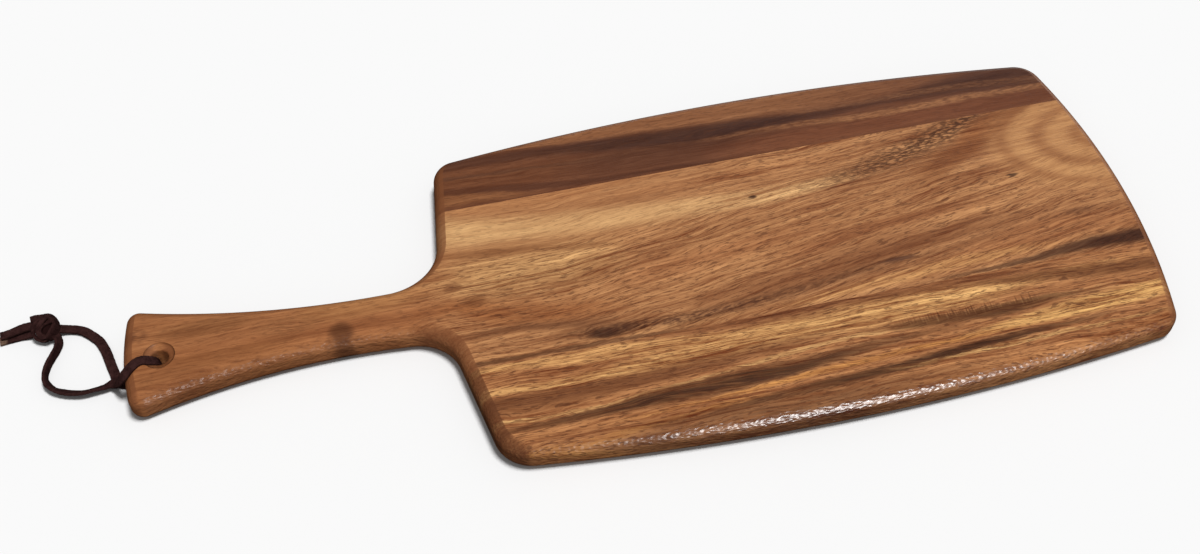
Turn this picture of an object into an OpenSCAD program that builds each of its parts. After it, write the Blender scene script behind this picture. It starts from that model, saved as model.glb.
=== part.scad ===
// Paddle serving board, edge-glued from three staves, with a hanging lace.
// The board lies flat: +X runs from the handle to the far end, +Y across it, +Z up.
// The origin is under the middle of the board, on the surface it lies on.

/* [Board] */
// Overall length of the wood, handle included
board_l = 508; // [480:2:560]
// Thickness of the wood
board_t = 16; // [14.5:0.5:19]

/* [Blade] */
// Width of the blade at its widest
blade_w = 205; // [196:1:216]
// Distance of the widest place past the middle of the board
widest_x = 74; // [60:1:90]
// Radius of the long barrel-shaped sides
side_r = 1250; // [1100:10:1600]
// Radius of the bowed far end
far_end_r = 350; // [300:5:500]
// Radius of the far corner on the far side
far_corner_r = 15.5; // [8:0.5:20]
// Radius of the far corner on the near side
near_corner_r = 10; // [8:0.5:20]
// Distance of the far shoulder from the middle of the board, half way along it
far_shoulder_x = 96.5; // [92:0.5:100]
// Distance of the near shoulder from the middle of the board, half way along it
near_shoulder_x = 94.5; // [92:0.5:100]
// Lean of the far shoulder, in degrees
far_lean = 7; // [4:0.5:12]
// Lean of the near shoulder, in degrees
near_lean = 10.5; // [4:0.5:12]
// Radius of the blade corner on the far side of the handle
far_shoulder_r = 12; // [8:0.5:20]
// Radius of the blade corner on the near side of the handle
near_shoulder_r = 18.5; // [8:0.5:20]

/* [Handle] */
// Width of the handle at its waist
waist_w = 26.5; // [25:0.1:30]
// Distance of the far side's waist from the middle of the board
far_waist_x = 130; // [126:1:136]
// Distance of the near side's waist from the middle of the board
near_waist_x = 151; // [146:1:156]
// Radius of the long flare on the far side
far_flare_r = 420; // [380:10:500]
// Radius of the long flare on the near side
near_flare_r = 350; // [320:10:420]
// Radius of the bowed handle end
handle_end_r = 148; // [100:2:180]
// Radius of the two corners at the handle end
handle_corner_r = 6.5; // [6.25:0.25:8]
// Radius of the hollow between the handle and the far shoulder
far_neck_r = 28; // [20:0.5:30]
// Radius of the hollow between the handle and the near shoulder
near_neck_r = 23; // [18:0.5:28]

/* [Edges] */
// How far in from the edge the rounding of the top edge starts
top_round = 5.5; // [3:0.25:6]
// Angle at which that rounding leaves the flat top face, in degrees
top_crease = 18; // [0:1:18]
// Radius rounded under the bottom edge all round
bottom_round = 4; // [3:0.25:6]

/* [Staves] */
// Height of the far glue line above the long axis, at the middle of the board
far_glue_y = 56.5; // [45:0.5:65]
// Slant of the far glue line, in degrees
far_glue_slant = 0.55; // [0:0.05:1]
// Distance of the near glue line below the long axis
near_glue_y = 44.2; // [40:0.1:50]

/* [Hanging hole] */
// Diameter of the hole through the handle
hole_d = 7.9; // [7.8:0.1:9]
// Distance of the hole from the handle end
hole_from_end = 17.8; // [17.6:0.1:18.2]
// Distance of the hole from the long axis, towards the near edge
hole_off = 2; // [1.8:0.1:2.2]
// Diameter of the countersink at the face
sink_d = 14.2; // [13:0.2:16]
// Depth of each countersink
sink_depth = 2.2; // [1.8:0.1:3]
// Depth of the relief that the lace lies in under the handle end
relief_depth = 1.8; // [1.7:0.1:2.5]

/* [Lace] */
// Width of the flat lace
lace_w = 4.8; // [3.6:0.1:5]
// Thickness of the lace
lace_t = 1.5; // [1:0.1:1.5]

/* [Hidden] */
$fn = 96;

half_l = board_l / 2;
hole_x = hole_from_end - half_l;
hole_y = -hole_off;
shoulder_y = 55;
top = board_t;
mid = board_t / 2;

// Routes of the lace. Each entry is a point, with x measured inwards from the
// handle end, and then the way the flat width points there.
// From the middle of the hole, up over the handle end, round the loop to the knot
over_route = [
    [[17.2, -2.9, mid], [0.3, -1, 0]],
    [[16.9, -3, top - 4.6], [0.3, -1, 0]],
    [[15.8, -3.4, top - 2.2], [0.3, -1, 0]],
    [[14, -4, top - 0.5], [0.1, -1, 0]],
    [[12.2, -4.1, top + 0.5], [0, -1, 0]],
    [[10.2, -3.9, top + 0.8], [0, -1, 0]],
    [[8, -4.3, top + 0.8], [0.3, -1, 0]],
    [[5.6, -6, top + 0.8], [0.7, -0.8, 0]],
    [[3.3, -8.2, top + 0.4], [0.6, -0.8, 0]],
    [[1, -9.8, top - 0.9], [0.5, -0.9, 0]],
    [[-0.6, -9.8, top - 3], [0.2, -1, 0]],
    [[-2, -8.9, top - 5.8], [0, -1, -0.2]],
    [[-3.6, -7, top - 8.8], [-0.3, -1, -0.4]],
    [[-5.2, -5, top - 11.8], [-0.5, -1, -0.2]],
    [[-7.6, -3.6, 2.8], [-0.3, -1, 0.1]],
    [[-11, -4.2, 2.2], [0, -1, 0.7]],
    [[-16, -4.9, 2.4], [0, -1, 1]],
    [[-21, -5.2, 2.3], [-0.1, -1, 0.9]],
    [[-26, -4.2, 2.2], [-0.3, -0.9, 0.7]],
    [[-30.5, -2.5, 2.2], [-0.5, -0.9, 0.8]],
    [[-34.5, -0.2, 2.5], [-0.7, -0.7, 1.2]],
    [[-37.2, 3.2, 2.5], [-0.9, -0.4, 1.4]],
    [[-38.4, 7.1, 2.6], [-0.2, 0, 1]],
    [[-38.1, 11.1, 2.6], [-0.1, 0, 1]],
    [[-36.9, 15.1, 2.6], [-0.1, 0, 1]],
    [[-35, 19.1, 2.6], [-0.1, 0, 1]],
    [[-33, 23.3, 2.6], [-0.2, 0, 1]],
    [[-32, 28, 3], [-0.5, 0, 0.9]],
    [[-33.6, 31.6, 3.8], [-0.9, -0.4, 0.4]],
];
// From the middle of the hole, down and out under the handle end to the knot
under_route = [
    [[17.2, -2.9, mid], [0.3, -1, 0]],
    [[17.2, -3, 4.8], [0.2, -1, 0]],
    [[16.7, -3.1, 2.8], [0, -1, 0]],
    [[15.2, -3.3, 1.3], [0, -1, 0]],
    [[13, -3.4, 0.8], [0, -1, 0]],
    [[9, -3.7, 0.8], [0, -1, 0]],
    [[5, -4, 0.8], [0, -1, 0]],
    [[1.5, -4.2, 0.8], [0, -1, 0]],
    [[-1.6, -3.9, 0.8], [-0.3, -1, 0]],
    [[-4, -2.4, 0.8], [-0.8, -0.6, 0]],
    [[-5.4, 0, 0.8], [-1, -0.3, 0]],
    [[-6.3, 3.5, 0.8], [-1, -0.3, 0]],
    [[-7.6, 8, 0.8], [-1, -0.3, 0]],
    [[-8.9, 13, 0.8], [-1, -0.3, 0]],
    [[-10.5, 18.6, 0.8], [-1, -0.4, 0]],
    [[-12.9, 24.2, 0.8], [-0.9, -0.5, 0]],
    [[-16.5, 28.7, 1], [-0.7, -0.8, 0.1]],
    [[-21, 32.8, 1.1], [-0.4, -1, 0.1]],
    [[-26.2, 34.8, 1.4], [-0.2, -1, 0.1]],
    [[-30.4, 35.4, 2.2], [0, -1, 0.1]],
    [[-34.2, 35.6, 3.4], [0, -1, 0]],
];
// The two ends of the lace beyond the knot
long_tail_route = [
    [[-44.4, 36.2, 2.2], [0, 1, 0]],
    [[-47.5, 36.5, 1.4], [0, 1, 0]],
    [[-51, 36.6, 0.9], [0, 1, 0]],
    [[-56, 36.1, 0.8], [0, 1, 0]],
    [[-60.6, 35.5, 0.8], [0, 1, 0]],
];
short_tail_route = [
    [[-44, 38.4, 4.8], [0.2, 1, 0]],
    [[-47, 38.8, 4.4], [0.1, 1, 0]],
    [[-50.8, 38.6, 3.7], [0, 1, 0]],
    [[-55.2, 37.8, 3], [-0.1, 1, -0.1]],
    [[-59.8, 37.2, 2.7], [-0.2, 1, -0.1]],
];
knot_at = [-38.8, 35.8, 0];
knot_apothem = 6.2;
knot_h = 8.8;

// ---- Outline: arcs that meet on a shared tangent ----

// Where a circle round a and a circle round b cross, on the given side of a-b
function cross_cc(a, ra, b, rb, side) =
    let (d = b - a, len = norm(d), u = d / len,
         m = (ra * ra - rb * rb + len * len) / (2 * len),
         h = sqrt(max(ra * ra - m * m, 0)))
    a + u * m + [-u.y, u.x] * h * side;

// Where the line through p along the unit vector d crosses a circle round c
function cross_lc(p, d, c, r, side) =
    let (w = p - c, b = w * d, q = w * w - r * r)
    p + d * (-b + side * sqrt(max(b * b - q, 0)));

function heading(v) = atan2(v.y, v.x);

// Points of an arc with their outward normals; the first point is left out
function arc_pts(c, r, a0, a1, n, hollow = false) =
    [for (i = [1:n]) let (a = a0 + (a1 - a0) * i / n, u = [cos(a), sin(a)])
        [c + u * r, hollow ? -u : u]];

// Half of the outline, from the handle end to the far end, above the long axis
function half_outline(lean, shoulder_x, shoulder_r, neck_r, waist_x, flare_r, end_r) =
    let (
        end_c = [handle_end_r - half_l, 0],
        flare_c = [-waist_x, waist_w / 2 + flare_r],
        side_c = [widest_x, blade_w / 2 - side_r],
        far_c = [half_l - far_end_r, 0],
        along = [sin(lean), cos(lean)],
        out = [-cos(lean), sin(lean)],
        on_shoulder = [-shoulder_x, shoulder_y],
        c1 = cross_cc(end_c, handle_end_r - handle_corner_r,
                      flare_c, flare_r + handle_corner_r, 1),
        c2 = cross_lc(on_shoulder + out * neck_r, along, flare_c, flare_r - neck_r, -1),
        c3 = cross_lc(on_shoulder - out * shoulder_r, along, side_c, side_r - shoulder_r, 1),
        c4 = cross_cc(side_c, side_r - end_r, far_c, far_end_r - end_r, -1),
        a1 = heading(c1 - end_c), a2 = heading(flare_c - c1),
        a3 = heading(c2 - flare_c), a4 = heading(-out),
        a5 = heading(c3 - side_c), a6 = heading(c4 - side_c), a7 = heading(c4 - far_c)
    )
    concat(
        [[[-half_l, 0], [-1, 0]]],
        arc_pts(end_c, handle_end_r, 180, a1, 5),
        arc_pts(c1, handle_corner_r, a1, a2, 8),
        arc_pts(flare_c, flare_r, a2 - 180, a3, 12, true),
        arc_pts(c2, neck_r, a3, a4, 9, true),
        [[c3 + out * shoulder_r, out]],
        arc_pts(c3, shoulder_r, 180 - lean, a5, 8),
        arc_pts(side_c, side_r, a5, a6, 18),
        arc_pts(c4, end_r, a6, a7, 7),
        arc_pts(far_c, far_end_r, a7, 0, 8)
    );

far_half = half_outline(far_lean, far_shoulder_x, far_shoulder_r, far_neck_r,
                        far_waist_x, far_flare_r, far_corner_r);
near_half = half_outline(near_lean, near_shoulder_x, near_shoulder_r, near_neck_r,
                         near_waist_x, near_flare_r, near_corner_r);
outline = concat(
    far_half,
    [for (i = [len(near_half) - 2:-1:1])
        [[near_half[i][0].x, -near_half[i][0].y], [near_half[i][1].x, -near_half[i][1].y]]]
);

// Edge profile from the bottom face to the top face: [inset, height]
profile = concat(
    [for (i = [0:5]) let (a = i * 18)
        [bottom_round * (1 - sin(a)), bottom_round * (1 - cos(a))]],
    let (r = top_round / (1 - sin(top_crease)))
    [for (i = [0:6]) let (a = 90 - i * (90 - top_crease) / 6)
        [r * (1 - sin(a)), board_t - r * (cos(top_crease) - cos(a))]]
);

// The point straight across the long axis from point i of the far half
function opposite(i) = i == 0 || i == len(far_half) - 1 ? i : len(outline) - i;

module board_blank() {
    n = len(outline);
    m = len(profile);
    h = len(far_half);
    pts = [for (p = profile, o = outline)
        [o[0].x - o[1].x * p[0], o[0].y - o[1].y * p[0], p[1]]];
    sides = [for (j = [0:m - 2], i = [0:n - 1]) let (k = (i + 1) % n)
        each [[j * n + k, (j + 1) * n + k, (j + 1) * n + i],
              [j * n + k, (j + 1) * n + i, j * n + i]]];
    // both flat faces are filled with strips that run straight across the board
    strips = concat(
        [[0, 1, opposite(1)], [h - 2, h - 1, opposite(h - 2)]],
        [for (i = [1:h - 3])
            each [[i, i + 1, opposite(i + 1)], [i, opposite(i + 1), opposite(i)]]]);
    last = (m - 1) * n;
    polyhedron(pts, concat(
        [for (f = strips) [last + f[0], last + f[1], last + f[2]]],
        [for (f = strips) [f[2], f[1], f[0]]],
        sides), convexity = 6);
}

// The wood between two lines that run along the board. Each line is its height
// above the long axis at the middle of the board, and its slant.
module stave(low, high) {
    reach = half_l + 10;
    function at(line, x) = line[0] + x * tan(line[1]);
    intersection() {
        board_blank();
        translate([0, 0, -1]) linear_extrude(board_t + 2) polygon([
            [-reach, at(low, -reach)], [reach, at(low, reach)],
            [reach, at(high, reach)], [-reach, at(high, -reach)]]);
    }
}

far_glue = [far_glue_y, far_glue_slant];
near_glue = [-near_glue_y, 0];

// ---- Wood ----

module far_stave() {
    color("#6b3f22") stave(far_glue, [blade_w, 0]);
}

module near_stave() {
    color("#8a5a30") stave([-blade_w, 0], near_glue);
}

module hanging_hole() {
    translate([hole_x, hole_y, -1]) cylinder(d = hole_d, h = board_t + 2);
    // countersinks in the top and the bottom face
    translate([hole_x, hole_y, board_t - sink_depth])
        cylinder(d1 = hole_d, d2 = sink_d, h = sink_depth);
    translate([hole_x, hole_y, board_t]) cylinder(d = sink_d, h = 1);
    translate([hole_x, hole_y, 0]) cylinder(d1 = sink_d, d2 = hole_d, h = sink_depth);
    translate([hole_x, hole_y, -1]) cylinder(d = sink_d, h = 1);
}

// Shallow run that the lace lies in, from the hole to the rounded handle end
module lace_relief() {
    translate([hole_x - 3, hole_y - 1.5, -1]) rotate([0, 0, 183])
        translate([0, -lace_w / 2 - 0.4, 0])
            cube([30, lace_w + 0.8, relief_depth + 1]);
}

module middle_stave() {
    color("#a56c3a") difference() {
        stave(near_glue, far_glue);
        hanging_hole();
        lace_relief();
    }
}

// ---- Lace ----

// A point on the smooth curve through the route, between points i and i + 1
function on_curve(r, i, t) =
    let (n = len(r) - 1,
         a = r[max(i - 1, 0)][0], b = r[i][0], c = r[min(i + 1, n)][0], d = r[min(i + 2, n)][0])
    0.5 * (2 * b + (c - a) * t + (2 * a - 5 * b + 4 * c - d) * t * t
           + (3 * b - a - 3 * c + d) * t * t * t);

function unit(v) = v / norm(v);

// Flat ribbon with eased corners, swept along a route, one ring at each point
module ribbon(route) {
    n = len(route);
    w = lace_w / 2;
    t = lace_t / 2;
    e = lace_t / 4;
    section = [[w, e - t], [w, t - e], [w - e, t], [e - w, t],
               [-w, t - e], [-w, e - t], [e - w, -t], [w - e, -t]];
    pts = [for (i = [0:n - 1])
        let (ahead = unit(on_curve(route, min(i, n - 2), i == n - 1 ? 1 : 0.05)
                          - on_curve(route, max(i - 1, 0), i == 0 ? 0 : 0.95)),
             want = route[i][1],
             across = unit(want - ahead * (want * ahead)),
             up = cross(across, ahead))
        each [for (s = section) route[i][0] + across * s[0] + up * s[1]]];
    walls = [for (j = [0:n - 2], i = [0:7]) let (k = (i + 1) % 8)
        each [[j * 8 + i, (j + 1) * 8 + i, (j + 1) * 8 + k],
              [j * 8 + i, (j + 1) * 8 + k, j * 8 + k]]];
    translate([-half_l, 0, 0]) polyhedron(pts, concat(
        [[for (i = [0:7]) i]],
        [[for (i = [7:-1:0]) (n - 1) * 8 + i]],
        walls), convexity = 8);
}

module lace_over() {
    color("#3a2420") ribbon(over_route);
}

module lace_under() {
    color("#3a2420") ribbon(under_route);
}

module lace_tail_long() {
    color("#442a24") ribbon(long_tail_route);
}

module lace_tail_short() {
    color("#442a24") ribbon(short_tail_route);
}

// Outer shape of the knot: an eight-sided lump with eased rims
module lace_knot() {
    r = knot_apothem / cos(22.5);
    color("#2e1c19") translate(knot_at - [half_l, 0, 0]) rotate([0, 0, 22.5]) {
        cylinder(r1 = r * 0.72, r2 = r, h = knot_h * 0.25, $fn = 8);
        translate([0, 0, knot_h * 0.25]) cylinder(r = r, h = knot_h * 0.45, $fn = 8);
        translate([0, 0, knot_h * 0.7]) cylinder(r1 = r, r2 = r * 0.66, h = knot_h * 0.3, $fn = 8);
    }
}

far_stave();
middle_stave();
near_stave();
lace_over();
lace_under();
lace_knot();
lace_tail_long();
lace_tail_short();
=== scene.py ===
import math
import bmesh
import bpy
from mathutils import Matrix, Vector, kdtree, noise


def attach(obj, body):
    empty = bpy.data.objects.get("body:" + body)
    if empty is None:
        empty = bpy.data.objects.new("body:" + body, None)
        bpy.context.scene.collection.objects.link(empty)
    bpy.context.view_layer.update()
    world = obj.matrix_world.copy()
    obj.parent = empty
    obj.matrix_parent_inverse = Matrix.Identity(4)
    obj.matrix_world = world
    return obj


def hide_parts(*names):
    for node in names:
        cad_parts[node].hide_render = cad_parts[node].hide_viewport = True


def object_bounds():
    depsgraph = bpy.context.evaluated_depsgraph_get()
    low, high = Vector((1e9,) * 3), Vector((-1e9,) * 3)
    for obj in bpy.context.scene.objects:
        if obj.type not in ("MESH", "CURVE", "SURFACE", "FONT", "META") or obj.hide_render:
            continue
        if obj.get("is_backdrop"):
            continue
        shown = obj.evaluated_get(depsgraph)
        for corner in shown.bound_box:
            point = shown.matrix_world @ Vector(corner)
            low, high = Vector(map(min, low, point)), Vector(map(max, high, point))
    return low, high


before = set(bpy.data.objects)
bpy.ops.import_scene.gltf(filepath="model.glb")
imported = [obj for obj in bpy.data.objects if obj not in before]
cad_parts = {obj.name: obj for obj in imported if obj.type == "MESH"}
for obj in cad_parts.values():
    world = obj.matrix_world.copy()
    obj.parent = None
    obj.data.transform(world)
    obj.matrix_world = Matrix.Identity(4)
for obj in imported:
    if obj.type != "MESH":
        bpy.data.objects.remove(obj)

lo0, hi0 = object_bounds()

HALF = 254.0   # half the length of the wood, mm
TOP = 16.0     # its thickness, mm
MID = TOP / 2


def put(name, verts, faces, mat, smooth=True):
    """A mesh object from points in mm."""
    me = bpy.data.meshes.new(name)
    me.from_pydata([Vector(v) / 1000 for v in verts], [], faces)
    me.materials.append(mat)
    for p in me.polygons:
        p.use_smooth = smooth
    me.update()
    ob = bpy.data.objects.new(name, me)
    bpy.context.scene.collection.objects.link(ob)
    return ob


# ---------------------------------------------------------------- camera
cam = bpy.data.objects.new("camera", bpy.data.cameras.new("camera"))
bpy.context.scene.collection.objects.link(cam)
cam.data.sensor_fit = "HORIZONTAL"
cam.data.sensor_width = 36.0
cam.data.lens = 1449.73 / 1200 * 36
cam.data.clip_start, cam.data.clip_end = 0.05, 20
right = Vector((0.974687, -0.223455, -0.007315))
down = Vector((-0.179352, -0.761939, -0.62232))
ahead = Vector((0.133487, 0.607879, -0.782729))
m = Matrix((right, -down, -ahead)).transposed().to_4x4()
m.translation = Vector((-0.118248, -0.435126, 0.571434))
cam.matrix_world = m
bpy.context.scene.camera = cam


# ---------------------------------------------------------------- node helper
def lin(c):
    return [(v / 255 / 12.92 if v <= 10 else ((v / 255 + 0.055) / 1.055) ** 2.4) for v in c]


class Val:
    """A number socket with arithmetic."""

    def __init__(self, t, o):
        self.t, self.o = t, o

    def op(self, kind, *rest, clamp=False):
        n = self.t.nodes.new("ShaderNodeMath")
        n.operation, n.use_clamp = kind, clamp
        for i, x in enumerate((self,) + rest):
            if isinstance(x, Val):
                self.t.links.new(x.o, n.inputs[i])
            else:
                n.inputs[i].default_value = x
        return Val(self.t, n.outputs[0])

    def __add__(self, b): return self.op("ADD", b)
    __radd__ = __add__
    def __sub__(self, b): return self.op("SUBTRACT", b)
    def __rsub__(self, b): return self.op("MULTIPLY_ADD", -1.0, b)
    def __mul__(self, b): return self.op("MULTIPLY", b)
    __rmul__ = __mul__
    def __truediv__(self, b): return self.op("DIVIDE", b)
    def muladd(self, b, c): return self.op("MULTIPLY_ADD", b, c)
    def abs(self): return self.op("ABSOLUTE")
    def max(self, b): return self.op("MAXIMUM", b)
    def min(self, b): return self.op("MINIMUM", b)

    def step(self, a, b, lo=0.0, hi=1.0):
        """Smoothly from lo at a to hi at b."""
        n = self.t.nodes.new("ShaderNodeMapRange")
        n.interpolation_type = "SMOOTHSTEP"
        self.t.links.new(self.o, n.inputs["Value"])
        if a > b:
            a, b, lo, hi = b, a, hi, lo
        for k, x in (("From Min", a), ("From Max", b), ("To Min", lo), ("To Max", hi)):
            n.inputs[k].default_value = x
        return Val(self.t, n.outputs["Result"])

    def curve(self, pts, low, high):
        """Height of the smooth line through pts, over a value between low and high."""
        n = self.t.nodes.new("ShaderNodeFloatCurve")
        self.t.links.new(self.o, n.inputs["Value"])
        c = n.mapping.curves[0]
        n.mapping.use_clip = False
        n.mapping.extend = "HORIZONTAL"
        pts = sorted(pts)
        c.points[0].location = (pts[0][0], (pts[0][1] - low) / (high - low))
        c.points[1].location = (pts[-1][0], (pts[-1][1] - low) / (high - low))
        for x, y in pts[1:-1]:
            c.points.new(x, (y - low) / (high - low))
        n.mapping.update()
        return Val(self.t, n.outputs["Value"]).muladd(high - low, low)


def material(name, rough, spec=0.5):
    mat = bpy.data.materials.new(name)
    mat.use_nodes = True
    t = mat.node_tree
    b = t.nodes["Principled BSDF"]
    b.inputs["Roughness"].default_value = rough
    b.inputs["Specular IOR Level"].default_value = spec
    return mat, t, b


def position(t):
    """Object position in mm as three values."""
    tc = t.nodes.new("ShaderNodeTexCoord")
    sx = t.nodes.new("ShaderNodeSeparateXYZ")
    t.links.new(tc.outputs["Object"], sx.inputs[0])
    return [Val(t, sx.outputs[i]) * 1000.0 for i in range(3)]


def vec(t, *xyz):
    n = t.nodes.new("ShaderNodeCombineXYZ")
    for i, x in enumerate(xyz):
        if isinstance(x, Val):
            t.links.new(x.o, n.inputs[i])
        else:
            n.inputs[i].default_value = x
    return n.outputs[0]


def fuzz(t, v, scale=1.0, detail=2.0, rough=0.5, distort=0.0):
    n = t.nodes.new("ShaderNodeTexNoise")
    t.links.new(v, n.inputs["Vector"])
    n.inputs["Scale"].default_value = scale
    n.inputs["Detail"].default_value = detail
    n.inputs["Roughness"].default_value = rough
    n.inputs["Distortion"].default_value = distort
    return Val(t, n.outputs[0])


def mix(t, f, a, b, how="MIX"):
    n = t.nodes.new("ShaderNodeMix")
    n.data_type, n.blend_type = "RGBA", how
    n.clamp_factor = True
    if isinstance(f, Val):
        t.links.new(f.o, n.inputs[0])
    else:
        n.inputs[0].default_value = f
    for i, c in ((6, a), (7, b)):
        if isinstance(c, bpy.types.NodeSocket):
            t.links.new(c, n.inputs[i])
        else:
            n.inputs[i].default_value = (*c, 1)
    return n.outputs[2]


# ---------------------------------------------------------------- wood
DULL = 0.92   # how bright a surface colour is for the colour it shows in the picture


# side is the colour of the painted shade on surfaces that face the handle end
def wood(name, base, bands, spots, streak, slope=None, warp=1.2, extra=None, calm=None, side=(130, 79, 49), bump=0.3):
    """Wood with its grain along X. Each band is a colour, how feathery it is, and its
    points: x, y, half width, strength. Each spot: colour, x, y, rx, ry, strength."""
    mat, t, bsdf = material(name, 0.4, 0.45)
    x, y, z = position(t)
    # the figure slants through the thickness, so that the sides show it too
    y = y + (TOP - z) * 0.3
    xn = (x + 260.0) / 520.0
    broad = fuzz(t, vec(t, x / 60.0, y / 14.0, z / 30.0), 1, 2)
    feather = fuzz(t, vec(t, x / 5.0, y / 0.9, z / 3.0), 1, 2)
    ripple = fuzz(t, vec(t, x / 40.0, y / 9.0, z / 12.0), 1, 2)
    yw = y + (broad - 0.5) * (warp * 3.0) + (feather - 0.5) * 2.6 + (ripple - 0.5) * (warp * 2.4)
    g = y + (broad - 0.5) * 6.0 + (ripple - 0.5) * (warp * 5.0)
    if slope:
        g = g - slope(x, y)
    fine = fuzz(t, vec(t, x / 13.0, g / 0.5, z / 0.9), 1, 3, 0.65)
    medium = fuzz(t, vec(t, x / 42.0, g / 1.7, z / 3.5), 1, 4, 0.65)
    coarse = fuzz(t, vec(t, x / 120.0, g / 7.0, z / 12.0), 1, 2)
    dash = fuzz(t, vec(t, x / 4.6, g / 0.6, z / 1.2), 1, 2)
    fleck = fuzz(t, vec(t, x / 4.0, g / 1.1, z / 2.0), 1, 2)
    col = base
    modes = {"plain": None, "streaky": medium.step(0.32, 0.62, 0.55, 1.1),
             "flecky": fleck.step(0.34, 0.64, 0.35, 1.1), "spotty": fleck.step(0.6, 0.44, 0.0, 1.1), "fibrous": fine.step(0.34, 0.62, 0.4, 1.15)}

    def n01(v):
        return (v + 260.0) / 520.0

    for color, how, soft, pts in bands:
        mid = xn.curve([(n01(p[0]), p[1]) for p in pts], -110.0, 110.0)
        half = xn.curve([(n01(p[0]), p[2]) for p in pts], 0.0, 20.0)
        ends = [(n01(pts[0][0] - 14), 0.0)] + [(n01(p[0]), p[3]) for p in pts] + [(n01(pts[-1][0] + 14), 0.0)]
        if pts[0][0] <= -94 or pts[0][0] <= -250:
            ends = ends[1:]
        if pts[-1][0] >= 244:
            ends = ends[:-1]
        power = xn.curve(ends, 0.0, 1.0)
        f = ((yw - mid).abs() / half).step(1.0 + soft, 1.0 - soft) * power
        if modes[how]:
            f = f * modes[how]
        col = mix(t, f, col, [v * DULL for v in lin(color)])
    for color, sx, sy, rx, ry, s in spots:
        dx = (x + (feather - 0.5) * 4.0 - sx) / rx
        dy = (yw - sy) / ry
        d = dx.op("POWER", 2.0) + dy.op("POWER", 2.0)
        col = mix(t, d.step(1.5, 0.2) * s, col, [v * DULL for v in lin(color)])
    if extra:
        col = extra(t, col, x, y, yw, g, medium, fleck)
    # streaks of all sizes, then the pores
    tone = ((coarse - 0.5) * streak[0] + (medium - 0.5) * streak[1] + (fine - 0.5) * streak[2]).max(-0.62)
    if calm:
        tone = tone * calm(x, y)
    gray = t.nodes.new("ShaderNodeCombineColor")
    for i, k in ((0, 1.0), (1, 1.3), (2, 1.4)):
        v = tone * k + 1.0
        t.links.new(v.o, gray.inputs[i])
    col = mix(t, 1.0, col, gray.outputs[0], "MULTIPLY")
    pore = dash.step(0.47, 0.36) * streak[3]
    if calm:
        pore = pore * calm(x, y)
    col = mix(t, pore, col, [v * DULL for v in lin((92, 52, 32))])
    # painted shade and light by facing: surfaces that face the handle end are painted toward the plain side colour as
    # shade, and surfaces that face the far end toward one set brown for how the light falls there
    tc = t.nodes.new("ShaderNodeTexCoord")
    sn = t.nodes.new("ShaderNodeSeparateXYZ")
    t.links.new(tc.outputs["Normal"], sn.inputs[0])
    end = Val(t, sn.outputs[0])
    col = mix(t, end.step(-0.06, -0.42) * 0.75, col, [v * DULL for v in lin(side)])
    col = mix(t, end.step(0.1, 0.5) * 0.7, col, [v * DULL for v in lin((150, 98, 66))])
    t.links.new(col, bsdf.inputs["Base Color"])
    r = (medium - 0.5) * 0.12 + z.step(15.9, 15.0, 0.4, 0.31)
    t.links.new(r.o, bsdf.inputs["Roughness"])
    bm = t.nodes.new("ShaderNodeBump")
    bm.inputs["Strength"].default_value = 1.0
    bm.inputs["Distance"].default_value = bump / 1000
    # the top is sanded smooth, and the rounded edges are a little rough
    grit = fuzz(t, vec(t, x / 2.2, y / 1.0, z / 1.0), 1, 0)
    h = dash.step(0.34, 0.5) * 0.05 + grit * z.step(15.9, 14.6, 0.01, 1.0)
    t.links.new(h.o, bm.inputs["Height"])
    t.links.new(bm.outputs[0], bsdf.inputs["Normal"])
    return mat


far_wood = wood(
    "wood_far", [v * DULL for v in lin((110, 65, 42))],
    [
        ((148, 96, 61), "plain", 0.5, [(-80, 93, 1.2, .5), (-40, 93, 3, .8), (0, 93, 5, .9), (40, 92.5, 7, .9),
                                        (80, 91.5, 8, .85), (120, 91, 7.5, .65), (160, 90, 5, .35), (200, 89, 3, .1)]),
        ((119, 71, 44), "plain", 0.6, [(-96, 74, 8, .7), (-60, 72, 8, .7), (-20, 70, 6, .4)]),
        ((94, 56, 38), "plain", 0.7, [(-20, 69, 8, .4), (20, 69, 10, .75), (50, 68, 10, .7), (90, 70, 7, .3)]),
        ((72, 43, 33), "plain", 0.6, [(-96, 86, 3, .5), (-60, 86, 3.2, .6), (-30, 85, 3.6, .7), (0, 82.5, 4.5, .9), (40, 80, 5, .95),
                                      (80, 79, 4, 1), (110, 78, 3, .8), (150, 80, 3, .6), (200, 82, 7, .8), (245, 81, 8, .7)]),
        ((117, 67, 42), "plain", 0.5, [(60, 64, 5, .5), (110, 64, 5.5, .9), (245, 64.5, 5.5, .9)]),
        ((150, 96, 58), "plain", 0.5, [(-96, 62, 4, .7), (-70, 60.5, 3, .6), (-48, 58.5, 1.4, .3)]),
        ((88, 51, 35), "streaky", 0.6, [(-96, 68.5, 1.5, .6), (-60, 64, 2.4, .8), (-20, 59.6, 1.6, .8), (0, 58.8, 1.4, .9), (45, 58.6, 1.1, .5)]),
        ((88, 54, 38), "plain", 0.7, [(-92, 77, 1.1, .6), (-60, 76, 1.1, .6), (-20, 73.5, 1, .4)]),
        ((156, 104, 67), "flecky", 0.6, [(60, 74.5, 1.2, .4), (110, 73, 1.8, .7), (150, 71, 2.2, 1), (200, 72, 2, .9), (245, 72, 1.6, .8)]),
        ((140, 92, 60), "flecky", 0.7, [(110, 82, 1.8, .6), (170, 82, 2, .6), (240, 78, 2, .5)]),
    ],
    [], (0.7, 1.0, 0.9, 0.45), warp=1.0)


def rising(x, y):
    """The grain of the middle stave climbs to the right past the shoulder."""
    climb = (x + 40.0).max(0.0) * 0.17
    return climb * y.step(46, 20, 0.45, 1.0)


def ripple_of(t, x, y):
    return fuzz(t, vec(t, x / 20.0, y / 6.0, 0.0), 1, 2)


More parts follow.
